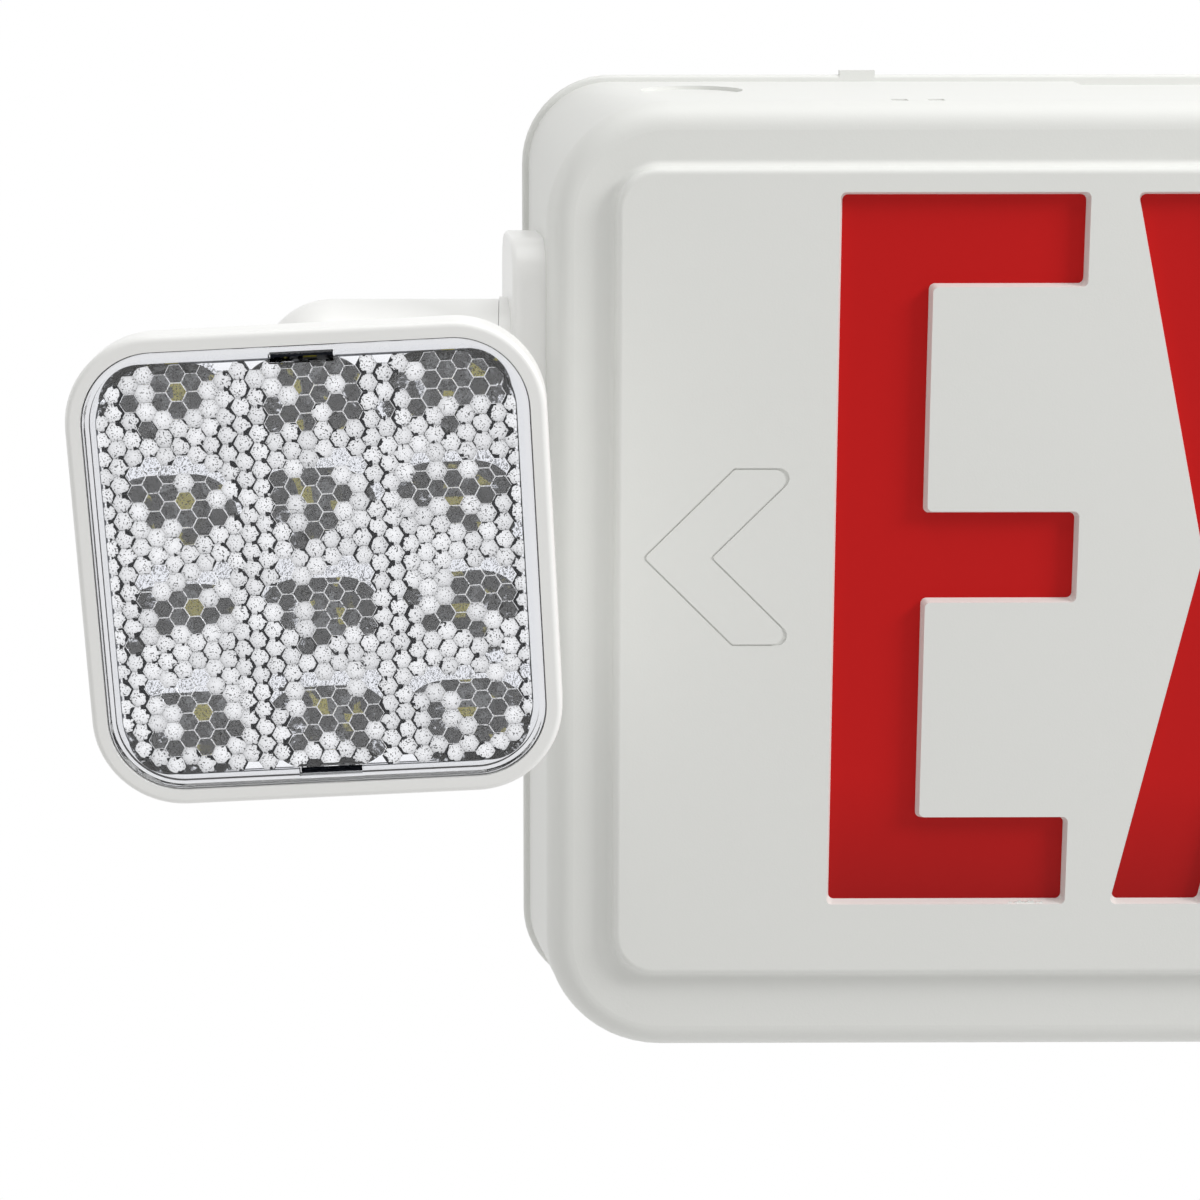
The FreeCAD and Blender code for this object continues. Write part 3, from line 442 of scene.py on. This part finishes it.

# %% [markdown]
# ## Clear lens
# The lamp's clear cover is smooth outside, and its inner face is a honeycomb of
# small six-sided domes inside a plain margin. The solid is the plain cover, and
# the domes come further down. The cover's finish is clear, with a silvery seat
# at its rim, a painted grey shade over the margin, and a thin painted dark line
# where the margin meets the domes.

# %% Clear lens
HEAD_REACH = 0.066
LENS_SETBACK = 0.0005
LENS_THICKNESS = 0.0022
LENS_FRONT_Y = LENS_SETBACK - HEAD_REACH
LENS_BACK_Y = LENS_FRONT_Y + LENS_THICKNESS
LENS_HALF = (0.0436, 0.04405)
LENS_CORNER = 0.01445
SEAT_WIDTH = 0.0012
SEAT_DEPTH = 0.0006
CLEAR_MARGIN = 0.0026
MARGIN_LINE = 0.00013
MARGIN_PAINTED_SHADE = 0.2
CLEAR_TINT = (0.978, 0.982, 0.996)
PAINTED_DARK = (0.008, 0.009, 0.012)


def clear_plastic(name):
    return Finish(name, Roughness=0.02, IOR=1.49, Transmission_Weight=1.0)


def way_in(x, z):
    """How far inside the lens's rounded outline a place is.

    With the place measured from a corner's centre, it is the corner's radius
    less the distance, and less the larger coordinate where neither is positive.
    """
    beyond_x = x.size() - (LENS_HALF[0] - LENS_CORNER)
    beyond_z = z.size() - (LENS_HALF[1] - LENS_CORNER)
    corner_x, corner_z = beyond_x.most(0.0), beyond_z.most(0.0)
    round_part = (corner_x * corner_x + corner_z * corner_z).root()
    return LENS_CORNER - (round_part + beyond_x.most(beyond_z).least(0.0))


def lens_finish(name, side):
    finish = clear_plastic(name)
    x, y, z = head_coordinates(finish, side)
    inset = way_in(x, z)
    inner = y.above(LENS_FRONT_Y + LENS_THICKNESS / 2)
    finish.feed("Metallic", y.above(LENS_FRONT_Y + SEAT_DEPTH) * inset.below(SEAT_WIDTH))
    # Painted shade: a thin dark line where the margin meets the domes, and a grey over the margin.
    line = inner * (inset - CLEAR_MARGIN).size().below(MARGIN_LINE)
    margin = inner * inset.below(CLEAR_MARGIN) * MARGIN_PAINTED_SHADE
    finish.between(line.most(margin), CLEAR_TINT, PAINTED_DARK)
    finish.grain(300.0, 0.000004)
    return finish.material


lenses = {side: lens_finish(side + "clear_lens", sign) for side, sign in SIDES.items()}
print("lens from", LENS_FRONT_Y, "to", LENS_BACK_Y)

# %% [markdown]
# ## Honeycomb
# Two rectangular lattices, one shifted by half a step each way, have a honeycomb
# as the set of places nearest to each of their points. The domes' meshes and
# their finish both use those lattices, so that they agree. A Voronoi texture
# could draw six-sided cells too, but its edges wouldn't follow the meshes.

# %% Honeycomb
COLUMN_STEP = 0.0031
ROW_STEP = 0.0036


def honeycomb(x, z):
    """Across and up from the middle of the nearest dome, and the way to its edge.

    The way to the edge towards a slanted neighbour is the difference of both
    squared distances over twice the spacing of the two middles.
    """
    u1, v1 = x.wrapped(2 * COLUMN_STEP), z.wrapped(ROW_STEP)
    u2, v2 = (x - COLUMN_STEP).wrapped(2 * COLUMN_STEP), (z - ROW_STEP / 2).wrapped(ROW_STEP)
    far1, far2 = u1 * u1 + v1 * v1, u2 * u2 + v2 * v2
    first = far1.below(far2)
    u = u2 + (u1 - u2) * first
    v = v2 + (v1 - v2) * first
    slanted = (far1 - far2).size() * (0.5 / math.hypot(COLUMN_STEP, ROW_STEP / 2))
    return u, v, slanted.least(ROW_STEP / 2 - v.size())


def chance(finish, column, row, seed):
    """A number from 0 to 1 for each dome, from its place in the lattice."""
    spot = finish.node("ShaderNodeCombineXYZ", None, [column, row, seed])
    return finish.node("ShaderNodeTexWhiteNoise", None, [spot])


print("honeycomb steps", COLUMN_STEP, ROW_STEP)

# %% [markdown]
# ## Finish of the domes
# A dome works as a small lens. Over a cup's dark foot it shows the dark and the
# diode, and elsewhere it throws the light back inside the plastic, as a mirror
# does. Clear plastic alone would need many bounces of light for that, and would
# mirror the white background here, so a dome is either clear or metallic. Which
# one is drawn by chance: often clear in a group round each diode, always clear
# over the diode itself and seldom elsewhere. The grooves between are metallic.
#
# The gap behind the cover limits how high a dome can be, so a bump adds the last
# of its curvature.

# %% Finish of the domes
GROUP_AT = (0.001, 0.0037)
GROUP_HALF = (0.0098, 0.0071)
GROUP_RAGGED = 0.003
GROUP_SHARE = 0.60
STRAY_SHARE = 0.06
OVER_DIODE = (0.0034, 0.0030)
GROOVE = 0.0001
FINE_SLOPE = 0.23
RAGGED_SEED, CLEAR_SEED, TONE_SEED = 11.0, 19.0, 23.0

ARC_SCALE = 700.0
ARC_SPREAD = 0.0024
ARC_LESS = 0.00098
COLUMN_EDGE = 0.0085
COLUMN_ARC = 0.00016
SPECK_SCALE = 3200.0
SPECK_LIMIT = 0.63
SPECK_TONE = 0.9
LEAST_TONE = 0.02
TONE_SPREAD = 0.14
TONE_OUTWARDS = 70000.0
TONE_UPWARDS = 35.0


def dome_finish(name, side):
    """Clear or metallic by dome, with dark arcs, specks and a shade on each.

    The arcs and the shade are painted shade, the dark a dome shows near its edges.
    The shade grows with the squared distance from the dome's middle and fades
    upwards. An arc lies along the edge that faces the middle of the lens.
    """
    finish = clear_plastic(name)
    x, _, z = head_coordinates(finish, side)
    u, v, edge = honeycomb(x, z)
    column = ((x - u) * (1.0 / COLUMN_STEP)).whole()
    row = ((z - v) * (2.0 / ROW_STEP)).whole()
    across, upward = cell_of_diode(x - u - GROUP_AT[0], z - v - GROUP_AT[1])
    ragged = (chance(finish, column, row, RAGGED_SEED) - 0.5) * GROUP_RAGGED
    group = ((across.size() + ragged).below(GROUP_HALF[0])
             * (upward.size() - ragged).below(GROUP_HALF[1]))
    over_diode = across.size().below(OVER_DIODE[0]) * upward.size().below(OVER_DIODE[1])
    drawn = chance(finish, column, row, CLEAR_SEED).below(group * GROUP_SHARE + STRAY_SHARE)
    clear = over_diode.most(drawn)
    finish.feed("Metallic", (1.0 - clear).most(edge.below(GROOVE)))

    arc_reach = finish.noise(ARC_SCALE) * ARC_SPREAD - ARC_LESS
    wide = arc_reach + across.size().above(COLUMN_EDGE) * COLUMN_ARC
    arc = edge.below(wide) * (u * x).below(0.0) * (1.0 - group)
    specks = finish.noise(SPECK_SCALE, 1.0).above(SPECK_LIMIT) * SPECK_TONE
    far = u * u + v * v
    shade = LEAST_TONE + chance(finish, column, row, TONE_SEED) * TONE_SPREAD
    shade = shade + far * TONE_OUTWARDS - v * TONE_UPWARDS
    finish.between(arc.most(specks).most(shade * (1.0 - clear)), CLEAR_TINT, PAINTED_DARK)
    finish.bump(1.0, far * (-FINE_SLOPE / ROW_STEP))
    return finish.material


dome_finishes = {side: dome_finish(side + "lens_domes", sign) for side, sign in SIDES.items()}
print("dome finishes", len(dome_finishes))

# %% [markdown]
# ## Where the domes stand
# The domes fill the lens inside its margin and stop at the two latch windows. A
# dome that would reach over that edge is pulled in there, because a cut by a
# Boolean would leave slivers on hundreds of small faces.

# %% Where the domes stand
RIM_POINTS = 12
DOME_SHARE = 0.985
WINDOW_HALF = 0.0066
WINDOW_START = 0.0406
LEAST_DOME = 0.0004
LATTICE_REACH = 16
PULLS = 30
PULL = 0.9


def room(x, z):
    """How far inside the honeycomb's field a place is, latch windows left out."""
    beyond = np.stack([np.abs(x) - (LENS_HALF[0] - LENS_CORNER),
                       np.abs(z) - (LENS_HALF[1] - LENS_CORNER)])
    outward = np.hypot(*np.maximum(beyond, 0.0)) + np.minimum(beyond.max(axis=0), 0.0)
    window = np.maximum(np.abs(x) - WINDOW_HALF, WINDOW_START - np.abs(z))
    return np.minimum(LENS_CORNER - outward - CLEAR_MARGIN, window)


def dome_middles():
    """The points of both lattices that have room for a dome."""
    steps = np.arange(-LATTICE_REACH, LATTICE_REACH + 1)
    one = [(2 * COLUMN_STEP * i, ROW_STEP * j) for i in steps for j in steps]
    other = [(x + COLUMN_STEP, z + ROW_STEP / 2) for x, z in one]
    middles = np.array(one + other)
    return middles[room(middles[:, 0], middles[:, 1]) > LEAST_DOME]


def dome_spokes(middles):
    """From each middle to the points of its rim.

    Even points are corners of a hexagon and odd ones the middles of its edges.
    A point outside the field is pulled towards the middle until it is inside.
    """
    turn = np.arange(RIM_POINTS)
    angles = turn * 2 * math.pi / RIM_POINTS
    reach = np.where(turn % 2 == 0, ROW_STEP / math.sqrt(3), ROW_STEP / 2) * DOME_SHARE
    spoke = np.stack([reach * np.cos(angles), reach * np.sin(angles)], axis=1)
    spokes = spoke[None].repeat(len(middles), axis=0)
    for _ in range(PULLS):
        tips = middles[:, None, :] + spokes
        spokes[room(tips[..., 0], tips[..., 1]) < 0.0] *= PULL
    return spokes


middles = dome_middles()
spokes = dome_spokes(middles)
print("domes on a lens", len(middles))

# %% [markdown]
# ## Shape of the domes
# One dome is an apex, two six-sided rings of twelve points and a foot that is
# sunk a little into the cover. Each leans a little, so that neighbours catch the
# light differently. Copies of one mesh couldn't end at the margin, so the points
# of all domes are one array, with one row for each.

# %% Shape of the domes
DOME_SEED = 7
DOME_TOP = 0.00042
DOME_FOOT = 0.00004
DOME_LEAN = 0.05
DOME_WAIST = 0.55
EDGE_SLOPE = 0.25


def dome_points(side):
    """Apex, waist, rim and foot of each dome, in the sign's axes.

    Height over the cover = DOME_TOP - k (u^2 + v^2) + lean, with u and v from the
    dome's middle and k chosen so that the slope at an edge's middle is
    EDGE_SLOPE.
    """
    rng = np.random.default_rng(DOME_SEED)
    lean = rng.uniform(-DOME_LEAN, DOME_LEAN, (len(middles), 2))

    def ring(share):
        offset = spokes * share
        fall = EDGE_SLOPE / ROW_STEP * (offset ** 2).sum(axis=2)
        height = DOME_TOP - fall + (offset * lean[:, None, :]).sum(axis=2)
        place = middles[:, None, :] + offset
        return np.stack([place[..., 0], LENS_BACK_Y + height, place[..., 1] - HEAD_DROP], axis=2)

    rim = ring(1.0)
    foot = rim.copy()
    foot[..., 1] = LENS_BACK_Y - DOME_FOOT
    local = np.concatenate([ring(0.0)[:, :1], ring(DOME_WAIST), rim, foot], axis=1)
    return (PIVOT + local @ head_axes.T) * np.array([side, 1.0, 1.0])


def dome_faces(side):
    """Faces of one dome: a fan at the apex, two bands of quads and the base."""
    start = np.arange(RIM_POINTS)
    after = (start + 1) % RIM_POINTS
    cap = [[0, 1 + b, 1 + a] for a, b in zip(start, after)]
    bands = [[1 + level + a, 1 + level + b, 1 + level + RIM_POINTS + b, 1 + level + RIM_POINTS + a]
             for level in (0, RIM_POINTS) for a, b in zip(start, after)]
    base = [[1 + 2 * RIM_POINTS + a for a in start]]
    return [face if side > 0 else face[::-1] for face in cap + bands + base]


print("points and faces of one dome", dome_points(1.0).shape[1], len(dome_faces(1.0)))

# %% [markdown]
# ## Domes on both lenses
# Smooth shading alone would round the grooves between the domes, so edges that
# bend by more than a crease's angle stay sharp. The right lens is the left one
# mirrored, and its faces are turned round so that their normals point outwards.

# %% Domes on both lenses
CREASE = math.radians(30.0)


def mesh_piece(name, points, faces, material):
    """A mesh object at the origin, unturned and unscaled."""
    mesh = bpy.data.meshes.new(name)
    mesh.from_pydata(points, [], faces)
    mesh.materials.append(material)
    return placed(name, mesh)


def lens_domes(name, side, material):
    points = dome_points(side)
    count, size = points.shape[:2]
    faces = [[dome * size + int(point) for point in face]
             for dome in range(count) for face in dome_faces(side)]
    piece = mesh_piece(name, points.reshape(-1, 3).tolist(), faces, material)
    piece.data.shade_smooth()
    piece.data.set_sharp_from_angle(angle=CREASE)
    print(name, count, "domes", len(piece.data.polygons), "faces")
    return piece


for side, sign in SIDES.items():
    domes = lens_domes(side + "lens_domes", sign, dome_finishes[side])
    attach(domes, side + "head")

# %% [markdown]
# ## Giving each piece its finish
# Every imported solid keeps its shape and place, and only its slots change. One
# table from finish to pieces shows at a glance what is made of what.

# %% Dress the solids
finishes = {
    housing: ["back_housing", "front_cover", "switch_bracket"],
    red: ["red_diffuser"],
    green_board: ["legend_board", "charger_board", "switch_board"],
    diode: ["legend_leds"],
    core: ["transformer"],
    black: ["board_parts", "test_switch"],
    green_block: ["terminal_block"],
    zinc: ["board_screws", "battery_strap", "button_spring"],
    sleeve: ["battery_pack"],
    button: ["test_button"],
    pilot: ["indicator_lens", "indicator_led"],
    lamp_white: [],
    board_painted_dark: [],
}
for side in SIDES:
    finishes[lamp_white] += [side + name for name in ("bracket", "arm", "arm_nut", "head_shell")]
    finishes[zinc] += [side + "bracket_screws", side + "pivot_pin"]
    finishes[black] += [side + "arm_washer"]
    finishes[board_painted_dark] += [side + "head_board"]
    finishes[lenses[side]] = [side + "head_lens"]
    finishes[cups[side]] = [side + "head_reflector"]
    finishes[head_diodes[side]] = [side + "head_leds"]

dressed = set()
for material, names in finishes.items():
    for name in names:
        piece = nodes[name]
        if not piece.material_slots:
            piece.data.materials.append(material)
        for slot in piece.material_slots:
            slot.material = material
        dressed.add(name)
print("dressed", len(dressed), "not dressed", sorted(set(nodes) - dressed))

# %% [markdown]
# ## Mould flash
# Where two halves of a mould don't quite close, plastic creeps between them and
# sets as a thin ragged skin. The sign has a short one on the lower edge of its
# first letter. It could be painted on, but it stands free in the letter's
# opening, so it is a thin strip whose height follows a few added waves.

# %% Mould flash
FLASH_X = (-0.0644, -0.0558)
FLASH_FOOT_Z = -0.06775
FLASH_Y = (-0.0594, -0.0592)
FLASH_HEIGHT = 0.0009
FLASH_ENDS = 0.08
FLASH_MEAN = 0.55
FLASH_WAVES = ((0.2, 23.0, 0.0), (0.15, 57.0, 1.0), (0.1, 131.0, 2.0))
FLASH_STATIONS = 61


def ragged_strip(name, material):
    """Closed strip along X, one rectangular section at each station.

    Height = FLASH_HEIGHT times the root of a half sine over the length, which is
    raised a little at its ends, times a mean with waves of three lengths.
    """
    along = np.linspace(0.0, 1.0, FLASH_STATIONS)
    waves = sum((share * np.sin(rate * along + start) for share, rate, start in FLASH_WAVES),
                FLASH_MEAN)
    tall = FLASH_HEIGHT * (FLASH_ENDS + np.sin(math.pi * along) ** 0.5) * waves
    x = FLASH_X[0] + along * (FLASH_X[1] - FLASH_X[0])
    section = ((0, 0), (1, 0), (1, 1), (0, 1))
    edges = [np.stack([x, np.full_like(x, FLASH_Y[depth]), FLASH_FOOT_Z + up * tall], axis=1)
             for depth, up in section]
    points = np.stack(edges, axis=1).reshape(-1, 3)
    start = 4 * np.arange(FLASH_STATIONS - 1)[:, None]
    this = np.arange(4)[None, :]
    after = (this + 1) % 4
    quads = np.stack([start + this, start + after, start + 4 + after, start + 4 + this], axis=-1)
    last = 4 * (FLASH_STATIONS - 1)
    ends = [[3, 2, 1, 0], [last, last + 1, last + 2, last + 3]]
    return mesh_piece(name, points.tolist(), quads.reshape(-1, 4).tolist() + ends, material)


flash = ragged_strip("mould_flash", housing)
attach(flash, "box")
print("flash points", len(flash.data.vertices))

# %% [markdown]
# ## Spring under the test button
# A rigid spring would poke through the pressed button. A copy of the solid, with
# its loose triangles joined, takes its place. A new coil could be drawn, but the
# solid already has the right wire and turns.

# %% Button spring
MERGE_REACH = 1e-6


def merged_copy(name, solid, material):
    """The solid's mesh in its own place, with its loose triangles joined."""
    shape = bmesh.new()
    shape.from_mesh(solid.data)
    shape.transform(solid.matrix_world)
    bmesh.ops.remove_doubles(shape, verts=shape.verts, dist=MERGE_REACH)
    mesh = bpy.data.meshes.new(name)
    shape.to_mesh(mesh)
    shape.free()
    mesh.materials.append(material)
    return placed(name, mesh)


spring = merged_copy("shortening_spring", nodes["button_spring"], zinc)
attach(spring, "box")
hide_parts("button_spring")
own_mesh(spring)

# %% [markdown]
# ## Background
# The photograph has a white background. A white wall behind the sign would take
# its shadow, and a bright world would wash out the relief. So the world is white
# for camera, glossy and transmission rays only, where the plated cups and the
# lens show it too, and gives a dimmer, slightly warm light to all other rays.

# %% Background
BACKGROUND_RAYS = ("Is Camera Ray", "Is Glossy Ray", "Is Transmission Ray")
WORLD_LIGHT = 0.43
WORLD_TINT = (1.0, 0.995, 0.975, 1.0)
WHITE = (1.0, 1.0, 1.0, 1.0)


def by_ray(graph, lighting, looking):
    """One shader for the rays that carry light, another for those that look."""
    share = graph.node("ShaderNodeLightPath", output=BACKGROUND_RAYS[0])
    for name in BACKGROUND_RAYS[1:]:
        share = share.most(graph.node("ShaderNodeLightPath", output=name))
    return graph.node("ShaderNodeMixShader", None, [share, lighting, looking])


world = bpy.data.worlds.new("studio")
bpy.context.scene.world = world
world.use_nodes = True
world.node_tree.nodes.clear()
studio = Graph(world.node_tree)
dim = studio.node("ShaderNodeBackground", None, {"Color": WORLD_TINT, "Strength": WORLD_LIGHT})
bright = studio.node("ShaderNodeBackground", None, {"Color": WHITE, "Strength": 1.0})
studio.node("ShaderNodeOutputWorld", None, [by_ray(studio, dim, bright)])
print("world light", WORLD_LIGHT)

# %% [markdown]
# ## Lamps
# Soft light comes from above and the right, as the shaded cove on the sign's
# left and bottom shows. Three large area lamps give it: a sun would draw hard
# edges, and a picture of a studio would be an image texture.


# %% Lamps
def soft_lamp(name, place, target, size, watts):
    """Square lamp that faces its target. Its tilt and turn come from the direction."""
    data = bpy.data.lights.new(name, "AREA")
    data.size = size
    data.energy = watts
    lamp = placed(name, data)
    lamp.location = place
    direction = np.array(target) - np.array(place)
    flat = math.hypot(direction[0], direction[1])
    lamp.rotation_euler = (math.atan2(flat, -direction[2]), 0.0,
                           math.atan2(direction[1], direction[0]) - math.pi / 2)
    print(name, watts, "W")


soft_lamp("upper_right", (1.15, -0.6, 0.8), (0.0, -0.06, 0.03), 0.5, 12.8)
soft_lamp("overhead", (0.0, -0.24, 1.0), (0.0, -0.05, 0.0), 0.8, 4.4)
soft_lamp("left_side", (-1.2, 0.06, 0.2), (-0.1, -0.03, 0.0), 0.7, 1.6)

# %% [markdown]
# ## Floor
# The sign hangs on a wall, so its floor is far below and only sends a little
# light up. To the camera it is as white as the world, so that no edge shows.

# %% Floor
FLOOR_Z = -0.45
FLOOR_HALF = 4

floor_finish = Finish("pale_floor", Roughness=0.9)
floor_finish.between(floor_finish.noise(3.0), (0.90, 0.90, 0.90), (0.93, 0.93, 0.93))
matt = Field(floor_finish, floor_finish.shader.outputs[0])
glow = floor_finish.node("ShaderNodeEmission", None, {"Strength": 1.0})
floor_out = floor_finish.tree.nodes["Material Output"]
floor_finish.tree.links.new(by_ray(floor_finish, matt, glow).socket, floor_out.inputs[0])

around = ((-1, -1), (1, -1), (1, 1), (-1, 1))
corners = [(x * FLOOR_HALF, y * FLOOR_HALF, FLOOR_Z) for x, y in around]
floor = mesh_piece("floor", corners, [(0, 1, 2, 3)], floor_finish.material)
print("floor at", FLOOR_Z)
